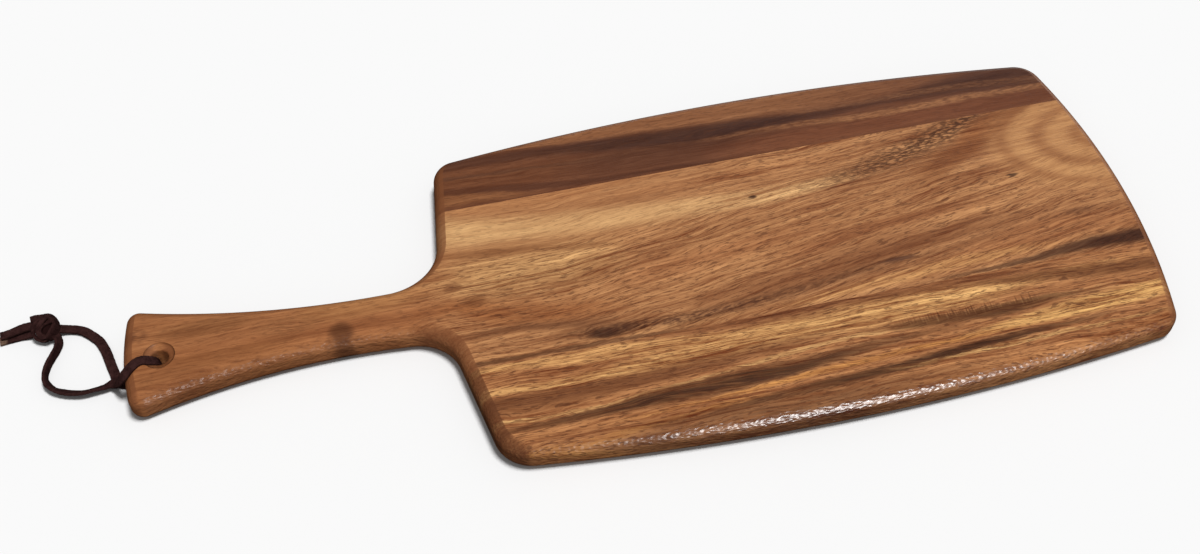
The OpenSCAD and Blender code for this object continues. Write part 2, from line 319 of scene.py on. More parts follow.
def arcs(x, y):
    """Distance from the middle of the arcs at the far end, in mm along the board."""
    return ((x - 256.0).op("POWER", 2.0) + ((y - 32.0) / 0.62).op("POWER", 2.0)).op("SQRT")


def calmer(x, y):
    """The streaks are weaker in the arcs, in the gold band and on the handle."""
    gold = (x.step(70, 0) * y.step(14, 28)).step(0.0, 1.0, 1.0, 0.5)
    return arcs(x, y).step(52, 72, 0.45, 1.0) * x.step(-130, -96, 0.55, 1.0) * gold


def cathedral(t, col, x, y, yw, g, medium, fleck):
    # pale arcs at the far end, one inside the other
    d = arcs(x, y + (yw - y) * 0.4)
    rings = (d * 0.3 + (medium - 0.5) * 1.8 - 2.35).op("SINE").muladd(0.5, 0.5).op("POWER", 1.6)
    zone = d.step(68, 52)
    col = mix(t, zone * 0.7, col, [v * DULL for v in lin((206, 150, 97))])
    col = mix(t, zone * rings * 0.75, col, [v * DULL for v in lin((158, 102, 62))])
    # a brown wedge beside them, up to the flecks under the glue line
    above = yw - ((x - 165.0) * 0.6 + 20.0)
    wedge = above.step(-2, 3) * above.step(20, 12) * x.step(140, 165)
    col = mix(t, wedge * 0.6, col, [v * DULL for v in lin((146, 90, 52))])
    # the handle is browner and more even than the blade
    handle = (x + (ripple_of(t, x, y) - 0.5) * 40.0).step(-82, -128)
    return mix(t, handle * 0.88, col, [v * DULL for v in lin((158, 99, 60))])


def on_handle(t, col, x, y, yw, g, medium, fleck):
    col = cathedral(t, col, x, y, yw, g, medium, fleck)

    def blob(col, color, cx, cy, rx, ry, s, flecks=False):
        d = ((x - cx) / rx).op("POWER", 2.0) + ((yw - cy) / ry).op("POWER", 2.0)
        f = d.step(1.6, 0.1) * s
        if flecks:
            f = f * fleck.step(0.38, 0.6, 0.2, 1.2)
        return mix(t, f, col, [v * DULL for v in lin(color)])

    col = blob(col, (130, 82, 48), -214, 10, 26, 5, 0.6)
    col = blob(col, (138, 84, 48), -206, -9, 40, 5, 0.7)
    col = blob(col, (134, 86, 52), -176, 1, 15, 7, 0.5, True)
    col = blob(col, (184, 128, 78), -140, 7, 30, 8, 0.5)
    col = blob(col, (132, 80, 46), -232, -16, 30, 5, 0.5)
    col = blob(col, (92, 54, 32), -151, -7.5, 6, 5.5, 0.8)
    col = blob(col, (104, 62, 38), -150, -14, 9, 6, 0.6, True)
    col = blob(col, (84, 48, 34), -252, 11, 5, 5, 0.7)
    col = blob(col, (104, 62, 40), -246, 11, 5, 4, 0.5, True)
    return col


middle_wood = wood(
    "wood_middle", [v * DULL for v in lin((178, 122, 78))],
    [
        ((222, 172, 116), "plain", 0.7, [(-96, 42, 9, .9), (-80, 39, 8, .9), (-60, 36.5, 7, .8), (-20, 33, 6.5, .7), (40, 29.5, 5.5, .65),
                                         (80, 29, 4.5, .6), (110, 31, 4, .3)]),
        ((196, 146, 94), "plain", 0.8, [(-96, 10, 10, .3), (-60, 9, 13, .7), (-20, 10, 11, .4)]),
        ((190, 130, 82), "plain", 0.7, [(-96, 55, 1.5, .4), (-60, 54, 3.2, .6), (-30, 54, 5, .8), (-8, 55, 3.4, .6), (20, 56.5, 1.8, .4)]),
        ((140, 88, 52), "streaky", 0.6, [(-96, 26, 1.8, .8), (-60, 22, 2.4, .8), (-40, 19.5, 2.2, .6), (-10, 15.5, 1.8, .4)]),
        ((184, 124, 78), "streaky", 0.7, [(-20, 47, 2, .2), (20, 46, 2.6, .5), (70, 47, 3, .6), (110, 48, 2, .3)]),
        ((152, 90, 49), "streaky", 0.8, [(-96, -5, 4, .8), (-85, -11, 6, .8), (-65, -17, 7, .75), (-45, -21, 6.5, .7), (-20, -23, 5, .3)]),
        ((156, 96, 58), "fibrous", 0.8, [(-10, -7, 6, .4), (20, -4, 6, .65), (50, -1, 6, .6), (90, 2, 5, .3)]),
        ((108, 66, 42), "fibrous", 0.9, [(-88, -25, 1.6, .6), (-68, -25, 2.4, .8), (-50, -28, 2.8, .8), (-33, -31, 2.6, .7)]),
        ((134, 82, 50), "fibrous", 0.9, [(30, -31, 6, .6), (70, -26, 8, .8), (110, -21, 9, .85), (150, -18, 8, .7), (190, -18, 7, .5), (240, -20, 6, .4)]),
        ((146, 88, 52), "streaky", 0.7, [(70, -12, 4, .4), (100, -6, 4, .7), (135, -2, 3.4, .7), (175, -1, 3, .3)]),
        ((90, 54, 36), "flecky", 0.8, [(-42, -35, 1.8, .6), (-28, -37, 3.4, .9), (-12, -36.5, 3, .95), (2, -37.5, 3, .95), (20, -37, 3, .9),
                                        (50, -35, 2.8, .8), (80, -32, 2.2, .6), (110, -28, 2, .6), (135, -26, 1.6, .3)]),
        ((100, 62, 40), "streaky", 0.5, [(-94, -41.8, 1.2, .7), (-60, -42.2, 1.3, .9), (-20, -43, 1.3, .9), (5, -43.4, .9, .6)]),
        ((88, 54, 34), "spotty", 0.8, [(100, 29, 3, .4), (130, 36, 6, .75), (160, 44, 7, .85), (185, 53, 6.5, .85), (200, 58, 4, .7)]),
        ((146, 88, 50), "plain", 0.6, [(160, 26, 2, .4), (180, 36, 6, .8), (200, 47, 9, .95), (222, 54, 8, .9), (246, 60, 6, .8)]),
        ((160, 100, 60), "fibrous", 0.8, [(130, -38, 3, .4), (170, -31, 6, .7), (210, -27, 9, .7), (246, -30, 8, .75)]),
        ((196, 140, 86), "streaky", 0.7, [(70, -41, 2, .5), (110, -38, 3, .7), (150, -35, 3, .7), (190, -34, 2, .4)]),
        ((74, 44, 30), "plain", 0.6, [(150, -42.6, .8, .5), (180, -41.4, 1.6, .8), (210, -38.8, 2.8, .9), (235, -38.6, 4, 1), (246, -39, 4.2, 1)]),
    ],
    [
        ((70, 42, 30), 64, 29.5, 2.4, 1.2, 0.95),
        ((66, 40, 29), 199, 13.5, 3.2, 1.2, 1.0),
        ((122, 74, 44), -95, 6, 5, 3.2, 0.7),
        ((128, 76, 42), -86, -5, 6, 3.4, 0.65),
        ((124, 76, 44), -99, 1, 3.4, 3, 0.3),
        ((68, 42, 30), -29, -37.2, 8, 3.0, 0.85),
        ((84, 52, 36), -22, -36.6, 10, 3.4, 0.5),
        ((84, 50, 36), 122, -26.5, 9, 1.5, 0.85),
        ((108, 66, 42), 222, -17.5, 9, 1.8, 0.6),
    ],
    (1.3, 1.9, 1.6, 0.6), slope=rising, warp=0.8, extra=on_handle, calm=calmer)


def comb(t, col, x, y, yw, g, medium, fleck):
    # curl under the golden band: short dark teeth pointing up
    teeth = fuzz(t, vec(t, x / 1.2, y / 16.0, 0.0), 1, 1)
    edge = teeth * 14.0 - 70.5
    f = (edge - y).step(-1.4, 2.6) * y.step(-69.5, -66.5) * x.step(100, 126) * x.step(192, 170)
    return mix(t, f * 0.9, col, [v * DULL for v in lin((98, 58, 32))])


near_wood = wood(
    "wood_near", [v * DULL for v in lin((170, 112, 69))],
    [
        ((204, 149, 92), "streaky", 0.8, [(-94, -45.6, 2, .8), (-60, -47, 3, .8), (-30, -48.4, 4.6, .9), (0, -50.4, 3.6, .8), (30, -51.6, 2.6, .6), (60, -52.2, 2, .4)]),
        ((128, 77, 46), "plain", 0.6, [(-10, -45.4, 1, .5), (30, -46, 2.6, .8), (70, -46.6, 3.2, .8), (130, -47, 3, .6), (190, -47.6, 2, .3)]),
        ((204, 150, 93), "streaky", 0.7, [(-92, -58.8, 1.8, .8), (-60, -60.4, 2, .8), (-30, -60.2, 3, .85), (0, -58.6, 4.6, .9), (30, -57, 5.8, .9),
                                          (60, -56, 6, .95), (100, -55.6, 6.4, 1), (150, -55.4, 5, .95), (180, -54, 3, .6), (215, -52, 2, .4)]),
        ((112, 66, 39), "streaky", 0.6, [(-92, -67, 4.6, .9), (-50, -68, 4.2, .9), (0, -66.5, 3.6, .8), (40, -64.5, 2.8, .6), (75, -62, 2, .3)]),
        ((92, 57, 34), "streaky", 0.6, [(100, -65, 1.5, .5), (130, -66.4, 2.4, .9), (158, -67.4, 2.8, 1), (182, -66.4, 2.2, .8), (205, -66, 1.4, .4)]),
        ((68, 40, 26), "streaky", 0.6, [(-85, -81, 1.6, .6), (-40, -80, 2.8, .85), (0, -78.6, 4.6, 1), (30, -77.6, 4.6, 1), (60, -76, 3.6, .9), (90, -73, 2.6, .6), (125, -71, 1.6, .4)]),
        ((198, 148, 94), "streaky", 0.5, [(-90, -74.8, .9, .9), (-50, -76.8, .8, .9), (-10, -74.8, .8, .6), (20, -72, .9, .6), (50, -68.6, 1.2, .8), (90, -66, 1.4, .7)]),
        ((184, 122, 66), "streaky", 0.6, [(-20, -87, .9, .4), (30, -84, 1.2, .8), (80, -80.6, 1.6, .95), (120, -79, 1.5, .9), (160, -78.6, 1, .5)]),
        ((72, 43, 27), "streaky", 0.6, [(20, -91, 1.6, .6), (60, -89.6, 2.4, .9), (100, -88, 2.8, 1), (140, -84.4, 2.2, .95), (180, -82, 1.4, .7), (210, -81, 1, .3)]),
        ((178, 118, 64), "streaky", 0.6, [(-88, -91.8, 1.2, .8), (-50, -94, 1.2, .6), (-20, -92, 1.3, .8), (0, -90.4, 1.2, .8), (25, -88.6, .9, .5)]),
        ((202, 152, 96), "streaky", 0.5, [(105, -88.6, .7, .4), (150, -86.6, 1, .95), (200, -85.6, 1, .8), (240, -85.2, .8, .5)]),
        ((208, 154, 92), "streaky", 0.6, [(145, -77, 1.5, .4), (180, -75, 3.6, .9), (212, -73.4, 4.2, 1), (246, -71.4, 4.2, .95)]),
        ((124, 77, 45), "streaky", 0.6, [(150, -50, 1.2, .4), (180, -52.4, 2.8, .9), (212, -55.4, 3.4, .95), (246, -57.4, 4, .95)]),
        ((104, 66, 42), "fibrous", 0.7, [(-40, -96, 3, .3), (0, -95, 4, .7), (50, -97, 4, .8), (100, -97, 4, .5), (140, -96, 3, .3)]),
    ],
    # a darker painted shade on the near stave's surfaces that face the handle end
    [], (1.1, 2.3, 1.9, 0.65), warp=1.0, extra=comb, side=(104, 62, 39))


# ---------------------------------------------------------------- board
def cross_cc(a, ra, b, rb, side):
    d = b - a
    length = d.length
    u = d / length
    k = (ra * ra - rb * rb + length * length) / (2 * length)
    h = math.sqrt(max(ra * ra - k * k, 0))
    return a + u * k + Vector((-u.y, u.x)) * h * side


def cross_lc(p, d, c, r, side):
    w = p - c
    b = w.dot(d)
    return p + d * (-b + side * math.sqrt(max(b * b - w.dot(w) + r * r, 0)))


def half_outline(lean, shoulder_x, shoulder_r, neck_r, waist_x, flare_r, end_r):
    """Points and outward directions from the handle end to the far end, Y above zero."""
    handle_end_r, corner_r, waist_w = 148.0, 6.5, 26.5
    widest_x, blade_w, side_r, far_end_r = 74.0, 205.0, 1250.0, 350.0
    end_c = Vector((handle_end_r - HALF, 0))
    flare_c = Vector((-waist_x, waist_w / 2 + flare_r))
    side_c = Vector((widest_x, blade_w / 2 - side_r))
    far_c = Vector((HALF - far_end_r, 0))
    s = math.radians(lean)
    along, out = Vector((math.sin(s), math.cos(s))), Vector((-math.cos(s), math.sin(s)))
    at = Vector((-shoulder_x, 55.0))
    c1 = cross_cc(end_c, handle_end_r - corner_r, flare_c, flare_r + corner_r, 1)
    c2 = cross_lc(at + out * neck_r, along, flare_c, flare_r - neck_r, -1)
    c3 = cross_lc(at - out * shoulder_r, along, side_c, side_r - shoulder_r, 1)
    c4 = cross_cc(side_c, side_r - end_r, far_c, far_end_r - end_r, -1)

    def heading(v):
        return math.atan2(v.y, v.x)

    res = [(Vector((-HALF, 0)), Vector((-1, 0)))]

    def arc(c, r, a0, a1, n, hollow=False):
        for i in range(1, n + 1):
            a = a0 + (a1 - a0) * i / n
            u = Vector((math.cos(a), math.sin(a)))
            res.append((c + u * r, -u if hollow else u))

    a1, a2 = heading(c1 - end_c), heading(flare_c - c1)
    a3, a4 = heading(c2 - flare_c), heading(-out)
    a5, a6, a7 = heading(c3 - side_c), heading(c4 - side_c), heading(c4 - far_c)
    arc(end_c, handle_end_r, math.pi, a1, 10)
    arc(c1, corner_r, a1, a2, 16)
    arc(flare_c, flare_r, a2 - math.pi, a3, 30, True)
    arc(c2, neck_r, a3, a4, 22, True)
    p0, p1 = res[-1][0], c3 + out * shoulder_r
    for i in range(1, 7):
        res.append((p0.lerp(p1, i / 6), out))
    arc(c3, shoulder_r, math.pi - s, a5, 18)
    arc(side_c, side_r, a5, a6, 44)
    arc(c4, end_r, a6, a7, 16)
    arc(far_c, far_end_r, a7, 0, 16)
    return res


far = half_outline(7, 96.5, 12, 28, 130, 420, 15.5)
near = half_outline(10.5, 94.5, 18.5, 23, 151, 350, 10)
outline = far + [(Vector((p.x, -p.y)), Vector((d.x, -d.y))) for p, d in near[-2:0:-1]]

CREASE = math.radians(18)
R_TOP = 5.5 / (1 - math.sin(CREASE))
R_BOT = 4.0
profile = []
for i in range(9):
    a = math.pi / 2 * i / 8
    profile.append((R_BOT * (1 - math.sin(a)), R_BOT * (1 - math.cos(a))))
for i in range(13):
    a = math.pi / 2 - (math.pi / 2 - CREASE) * i / 12
    profile.append((R_TOP * (1 - math.sin(a)), TOP - R_TOP * (math.cos(CREASE) - math.cos(a))))

n, rows, h = len(outline), len(profile), len(far)
ring = [(p.x - d.x * inset, p.y - d.y * inset, z) for inset, z in profile for p, d in outline]
ways = [d for _ in profile for p, d in outline]
tree = kdtree.KDTree(len(ring))
for i, v in enumerate(ring):
    tree.insert(v, i)
tree.balance()


def opposite(i):
    return i if i in (0, h - 1) else n - i


faces = []
for j in range(rows - 1):
    for i in range(n):
        k = (i + 1) % n
        faces.append((j * n + i, j * n + k, (j + 1) * n + k, (j + 1) * n + i)[::-1])
last = (rows - 1) * n
caps = [(0, 1, opposite(1)), (h - 2, h - 1, opposite(h - 2))]
for i in range(1, h - 2):
    caps.append((i, i + 1, opposite(i + 1), opposite(i)))
faces += [tuple(last + q for q in c)[::-1] for c in caps] + [tuple(c) for c in caps]


def stave(name, mat, low, high):
    """The part of the board between two glue lines: height at the middle, and slope."""
    bm = bmesh.new()
    vs = [bm.verts.new(v) for v in ring]
    for f in faces:
        bm.faces.new([vs[i] for i in f])
    bmesh.ops.recalc_face_normals(bm, faces=bm.faces)
    for line, sign in ((low, -1), (high, 1)):
        if line:
            d = Vector((-line[1], 1, 0)).normalized() * sign
            cut = bmesh.ops.bisect_plane(bm, geom=bm.verts[:] + bm.edges[:] + bm.faces[:], dist=1e-5,
                                         plane_co=(0, line[0], 0), plane_no=d, clear_outer=True)
            edges = [e for e in cut["geom_cut"] if isinstance(e, bmesh.types.BMEdge)]
            bmesh.ops.contextual_create(bm, geom=edges) if not line[2] else bmesh.ops.holes_fill(bm, edges=edges, sides=0)
    ob = put(name, [(0, 0, 0)], [], mat)
    bm.to_mesh(ob.data)
    bm.free()
    ob.data.transform(Matrix.Scale(0.001, 4))
    return ob


FAR_GLUE = (56.5, math.tan(math.radians(0.55)), True)
NEAR_GLUE = (-44.2, 0.0, True)
far_stave = stave("wood_far_stave", far_wood, FAR_GLUE, None)
middle_stave = stave("wood_middle_stave", middle_wood, NEAR_GLUE, FAR_GLUE)
near_stave = stave("wood_near_stave", near_wood, None, NEAR_GLUE)

# the hole with its dished countersinks, and the relief under the handle end
HX, HY = 17.8 - HALF, -2.0
dish = [(0, TOP + 2), (7.6, TOP + 2), (7.6, TOP + 0.02), (7.3, TOP - 0.1), (7.1, TOP - 0.35), (6.7, TOP - 0.8), (5.9, TOP - 1.3), (5.0, TOP - 1.7),
        (4.3, TOP - 2.0), (4.02, TOP - 2.4), (3.95, TOP - 3.0)]
lathe = dish + [(r, TOP - z) for r, z in dish[::-1]]
SEG = 96
cv = [(HX + r * math.cos(2 * math.pi * k / SEG), HY + r * math.sin(2 * math.pi * k / SEG), z)
      for r, z in lathe[1:-1] for k in range(SEG)]
cf = []
L = len(lathe) - 2
for j in range(L - 1):
    for k in range(SEG):
        q = (k + 1) % SEG
        cf.append((j * SEG + k, (j + 1) * SEG + k, (j + 1) * SEG + q, j * SEG + q))
cf.append(tuple(range(SEG)))
cf.append(tuple((L - 1) * SEG + k for k in range(SEG))[::-1])
cutter = put("cutter", cv, cf, middle_wood)
slot = bmesh.new()
bmesh.ops.create_cube(slot, size=1.0)
a = math.radians(183)
place = (Matrix.Translation((HX - 3, HY - 1.5, -1)) @ Matrix.Rotation(a, 4, "Z")
         @ Matrix.Translation((15, 0, 1.4)) @ Matrix.Diagonal((30, 5.6, 2.8, 1)))
bmesh.ops.transform(slot, matrix=Matrix.Scale(0.001, 4) @ place, verts=slot.verts)
cutter2 = put("cutter2", [(0, 0, 0)], [], middle_wood)
slot.to_mesh(cutter2.data)
slot.free()
for c in (cutter, cutter2):
    mod = middle_stave.modifiers.new("cut", "BOOLEAN")
    mod.operation, mod.object, mod.solver = "DIFFERENCE", c, "EXACT"
dg = bpy.context.evaluated_depsgraph_get()
cut_mesh = bpy.data.meshes.new_from_object(middle_stave.evaluated_get(dg))
middle_stave.modifiers.clear()
middle_stave.data = cut_mesh
for c in (cutter, cutter2):
    bpy.data.objects.remove(c)


def shade(ob, glue):
    """Sets normals from the shape itself, so that flats stay flat and the round-over smooth."""
    me = ob.data
    normals = []
    for p in me.polygons:
        c = p.center * 1000
        flat = abs(p.normal.z) > 0.999 and (c.z > TOP - 0.01 or c.z < 0.01)
        cut = any(abs(c.y - g[0] - g[1] * c.x) < 0.02 and abs(p.normal.y) > 0.99 for g in glue)
        hole = math.hypot(c.x - HX, c.y - HY) < 7.7
        relief = c.z < 1.85 and abs(p.normal.z) > 0.99 and c.z > 0.3 and c.x < -230
        p.use_smooth = True
        for li in p.loop_indices:
            v = me.vertices[me.loops[li].vertex_index].co * 1000
            if flat or cut or relief:
                normals.append(p.normal.copy())
                continue
            if hole:
                r = math.hypot(v.x - HX, v.y - HY)
                inward = Vector((HX - v.x, HY - v.y, 0)) / max(r, 1e-6)
                t = min(max((r - 3.95) / (7.1 - 3.95), 0), 1)
                tilt = math.radians(90 - 52 * min(t * 4, 1) + (38 * max(t - 0.8, 0) / 0.2))
                up = 1 if c.z > MID else -1
                nn = inward * math.sin(tilt) + Vector((0, 0, up)) * math.cos(tilt)
                normals.append(nn if nn.dot(p.normal) > 0.3 else p.normal.copy())
                continue
            hits = tree.find_n(v, 2)
            w = [1 / (d + 1e-4) for _, _, d in hits]
            out = sum((ways[i] * k for (_, i, _), k in zip(hits, w)), Vector((0, 0))).normalized()
            if v.z > TOP - R_TOP * math.cos(CREASE):
                ca = min(max(math.cos(CREASE) - (TOP - v.z) / R_TOP, 0), 1)
            elif v.z < R_BOT:
                ca = -min(max(1 - v.z / R_BOT, 0), 1)
            else:
                ca = 0
            sa = math.sqrt(1 - ca * ca)
            nn = Vector((out.x * sa, out.y * sa, ca))
            normals.append(nn if nn.dot(p.normal) > 0.5 else p.normal.copy())
    me.normals_split_custom_set(normals)


for ob, glue, node in ((far_stave, [FAR_GLUE], "far_stave"), (middle_stave, [FAR_GLUE, NEAR_GLUE], "middle_stave"),
                       (near_stave, [NEAR_GLUE], "near_stave")):
    shade(ob, glue)
    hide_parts(node)
    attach(ob, "root")


# ---------------------------------------------------------------- lace
def suede(name, tan_from=None):
    mat, t, b = material(name, 0.95, 0.06)
    x, y, z = position(t)
    a = fuzz(t, vec(t, x, y, z), 1.6, 4, 0.65)
    c = fuzz(t, vec(t, x, y, z), 0.35, 2)
    dark, light = lin((34, 18, 17)), lin((64, 40, 38))
    col = mix(t, (a * 0.7 + c * 0.5).step(0.35, 0.85), dark, light)
    if tan_from:
        col = mix(t, x.step(*tan_from), col, mix(t, a.step(0.35, 0.65), lin((84, 62, 50)), lin((122, 98, 82))))
    t.links.new(col, b.inputs["Base Color"])
    b.inputs["Sheen Weight"].default_value = 0.0
    b.inputs["Sheen Roughness"].default_value = 0.6
    b.inputs["Sheen Tint"].default_value = (0.55, 0.42, 0.36, 1)
    bp = t.nodes.new("ShaderNodeBump")
    bp.inputs["Strength"].default_value = 0.8
    bp.inputs["Distance"].default_value = 0.0003
    t.links.new(a.o, bp.inputs["Height"])
    t.links.new(bp.outputs[0], b.inputs["Normal"])
    return mat


lace_mat = suede("lace")
# a plain dark material for the knot's core: painted shade in the deep creases between its turns
knot_shade_mat, _, hb = material("lace_knot_shade", 0.95, 0.0)
hb.inputs["Base Color"].default_value = (*lin((34, 18, 17)), 1)
tip_mat = suede("lace_tip", (-310.2, -312.2))

over_route = [
    ((17.2, -2.9, MID), (0.3, -1, 0)), ((16.9, -3, TOP - 4.6), (0.3, -1, 0)), ((15.8, -3.4, TOP - 2.2), (0.3, -1, 0)),
    ((14, -4, TOP - 0.5), (0.1, -1, 0)), ((12.2, -4.1, TOP + 0.5), (0, -1, 0)), ((10.2, -3.9, TOP + 0.8), (0, -1, 0)),
    ((8, -4.3, TOP + 0.8), (0.3, -1, 0)), ((5.6, -6, TOP + 0.8), (0.7, -0.8, 0)), ((3.3, -8.2, TOP + 0.4), (0.6, -0.8, 0)),
    ((1, -9.8, TOP - 0.9), (0.5, -0.9, 0)), ((-0.6, -9.8, TOP - 3), (0.2, -1, 0)), ((-2, -8.9, TOP - 5.8), (0, -1, -0.2)),
    ((-3.6, -7, TOP - 8.8), (-0.3, -1, -0.4)), ((-5.2, -5, TOP - 11.8), (-0.5, -1, -0.2)), ((-7.6, -3.6, 2.8), (-0.3, -1, 0.1)),
    ((-11, -4.2, 2.2), (0, -1, 0.7)), ((-16, -4.9, 2.4), (0, -1, 1)), ((-21, -5.2, 2.3), (-0.1, -1, 0.9)),
    ((-26, -4.2, 2.2), (-0.3, -0.9, 0.7)), ((-30.5, -2.5, 2.2), (-0.5, -0.9, 0.8)), ((-34.5, -0.2, 2.5), (-0.7, -0.7, 1.2)),
    ((-37.2, 3.2, 2.5), (-0.9, -0.4, 1.4)), ((-38.4, 7.1, 2.6), (-0.2, 0, 1)), ((-38.1, 11.1, 2.6), (-0.1, 0, 1)),
    ((-36.9, 15.1, 2.6), (-0.1, 0, 1)), ((-35, 19.1, 2.6), (-0.1, 0, 1)), ((-33, 23.3, 2.6), (-0.2, 0, 1)),
    ((-32, 28, 3), (-0.5, 0, 0.9)), ((-33.6, 31.6, 3.8), (-0.9, -0.4, 0.4)),
]
under_route = [
    ((17.2, -2.9, MID), (0.3, -1, 0)), ((17.2, -3, 4.8), (0.2, -1, 0)), ((16.7, -3.1, 2.8), (0, -1, 0)), ((15.2, -3.3, 1.3), (0, -1, 0)),
    ((13, -3.4, 0.8), (0, -1, 0)), ((9, -3.7, 0.8), (0, -1, 0)), ((5, -4, 0.8), (0, -1, 0)), ((1.5, -4.2, 0.8), (0, -1, 0)),
    ((-1.6, -3.9, 0.8), (-0.3, -1, 0)), ((-4, -2.4, 0.8), (-0.8, -0.6, 0)), ((-5.4, 0, 0.8), (-1, -0.3, 0)), ((-6.3, 3.5, 0.8), (-1, -0.3, 0)),
    ((-7.6, 8, 0.8), (-1, -0.3, 0)), ((-8.9, 13, 0.8), (-1, -0.3, 0)), ((-10.5, 18.6, 0.8), (-1, -0.4, 0)), ((-12.9, 24.2, 0.8), (-0.9, -0.5, 0)),
    ((-16.5, 28.7, 1), (-0.7, -0.8, 0.1)), ((-21, 32.8, 1.1), (-0.4, -1, 0.1)), ((-26.2, 34.8, 1.4), (-0.2, -1, 0.1)),
    ((-30.4, 35.4, 2.2), (0, -1, 0.1)), ((-34.2, 35.6, 3.4), (0, -1, 0)),
]
long_tail_route = [((-44.4, 36.2, 2.2), (0, 1, 0)), ((-47.5, 36.5, 1.4), (0, 1, 0)), ((-51, 36.6, 0.9), (0, 1, 0)), ((-56, 36.1, 0.8), (0, 1, 0)),
                   ((-60.6, 35.5, 0.8), (0, 1, 0))]
short_tail_route = [((-44, 38.4, 4.8), (0.2, 1, 0)), ((-47, 38.8, 4.4), (0.1, 1, 0)), ((-50.8, 38.6, 3.7), (0, 1, 0)), ((-55.2, 37.8, 3), (-0.1, 1, -0.1)),
                    ((-59.8, 37.2, 2.7), (-0.2, 1, -0.1))]


def spline(route, step=0.45):
    """Points along the smooth curve through the route, with the way the width points."""
    P = [Vector(p) - Vector((HALF, 0, 0)) for p, _ in route]
    W = [Vector(w) for _, w in route]
    res = []
    for i in range(len(P) - 1):
        a, b, c, d = P[max(i - 1, 0)], P[i], P[i + 1], P[min(i + 2, len(P) - 1)]
        k = max(2, math.ceil((c - b).length / step))
        for j in range(k + (i == len(P) - 2)):
            t = j / k
            p = 0.5 * (2 * b + (c - a) * t + (2 * a - 5 * b + 4 * c - d) * t * t + (3 * b - a - 3 * c + d) * t ** 3)
            res.append((p, W[i].lerp(W[i + 1], t)))
    return res


def ribbon(name, route, mat, w=2.4, t=0.75, e=0.32, rough=0.12, seed=0.0, close=False):
    """A flat lace with eased corners along a route."""
    pts = spline(route)
    section = []
    for sx, sy, a0 in ((1, 1, 0), (-1, 1, 90), (-1, -1, 180), (1, -1, 270)):
        for i in range(4):
            a = math.radians(a0 + 30 * i)
            section.append((sx * (w - e) + e * math.cos(a), sy * (t - e) + e * math.sin(a)))
    k = len(section)
    verts = []
    for i, (p, want) in enumerate(pts):
        ahead = (pts[min(i + 1, len(pts) - 1)][0] - pts[max(i - 1, 0)][0]).normalized()
        across = (want - ahead * want.dot(ahead)).normalized()
        up = across.cross(ahead)
        for j, (u, v) in enumerate(section):
            q = p + across * u + up * v
            f = noise.noise(q * 1.1 + Vector((seed, 3.7, 1.3))) * rough + noise.noise(q * 2.9) * rough * 0.6
            grow = 1 if abs(u) > w - e - 0.01 else 0.35
            q = q + (across * (1 if u > 0 else -1) * grow + up * (0.5 if v > 0 else -0.5)) * f
            verts.append(q)
    faces = []
    for i in range(len(pts) - 1):
        for j in range(k):
            q = (j + 1) % k
            faces.append((i * k + j, (i + 1) * k + j, (i + 1) * k + q, i * k + q))
    faces.append(tuple(range(k)))
    faces.append(tuple((len(pts) - 1) * k + j for j in range(k))[::-1])
    ob = put(name, verts, faces, mat)
    bm = bmesh.new()
    bm.from_mesh(ob.data)
    bmesh.ops.recalc_face_normals(bm, faces=bm.faces)
    bm.to_mesh(ob.data)
    bm.free()
    return ob, [p / 1000 for p, _ in pts]


def length(path):
    return sum((b - a).length for a, b in zip(path, path[1:]))


lace_over, over_path = ribbon("lace_over_run", over_route, lace_mat, seed=1.0)
lace_under, under_path = ribbon("lace_under_run", under_route, lace_mat, seed=2.0)
tail_long, _ = ribbon("lace_tail_long_end", long_tail_route, tip_mat, seed=5.0)
tail_short, _ = ribbon("lace_tail_short_end", short_tail_route, lace_mat, seed=9.0)

# An overhand knot in the doubled lace. Each turn is drawn as the camera sees it, in mm
# to the right of and above the middle of the knot, and laid over the knot's body.
knot_parts = []
KX, KY = -38.8, 35.8
BODY = Vector((4.7, 5.8, 4.2))
MIDDLE = Vector((KX - HALF + 0.6, KY, 4.5))
TOWARDS = -ahead


def on_body(u, v, lift):
    """The point of the knot's body behind a place in the picture, and its normal."""
    o = right * u - down * v
    for k in range(40):
        q = Vector([a / b for a, b in zip(o, BODY)])
        d = Vector([a / b for a, b in zip(TOWARDS, BODY)])
        b, c = q.dot(d), q.dot(q) - 1
        h2 = b * b - d.dot(d) * c
        if h2 >= 0:
            break
        o *= 0.98
    p = o + TOWARDS * ((-b + math.sqrt(max(h2, 0))) / d.dot(d))
    nn = Vector([a / (b * b) for a, b in zip(p, BODY)]).normalized()
    return MIDDLE + p + nn * lift, nn


def turn(name, places, w, seed, t=0.75):
    """One visible turn: its places (u, v, lift), with both ends sunk into the knot."""
    route = []
    shown = [on_body(*q) for q in places]
    for i, (p, nn) in enumerate(shown):
        run = shown[min(i + 1, len(shown) - 1)][0] - shown[max(i - 1, 0)][0]
        side = run.cross(nn).normalized()
        route.append((p + Vector((HALF, 0, 0)), side))
    for at, nxt, where in ((0, 1, 0), (-1, -2, len(route))):
        p, side = route[at]
        nn = shown[at][1]
        out = (shown[at][0] - shown[nxt][0]).normalized()
        route.insert(0 if where == 0 else len(route), (p + out * 1.6 - nn * 2.2, side))
    ob, _ = ribbon(name, route, lace_mat, w=w, t=t, e=0.34, seed=seed)
    knot_parts.append(ob)


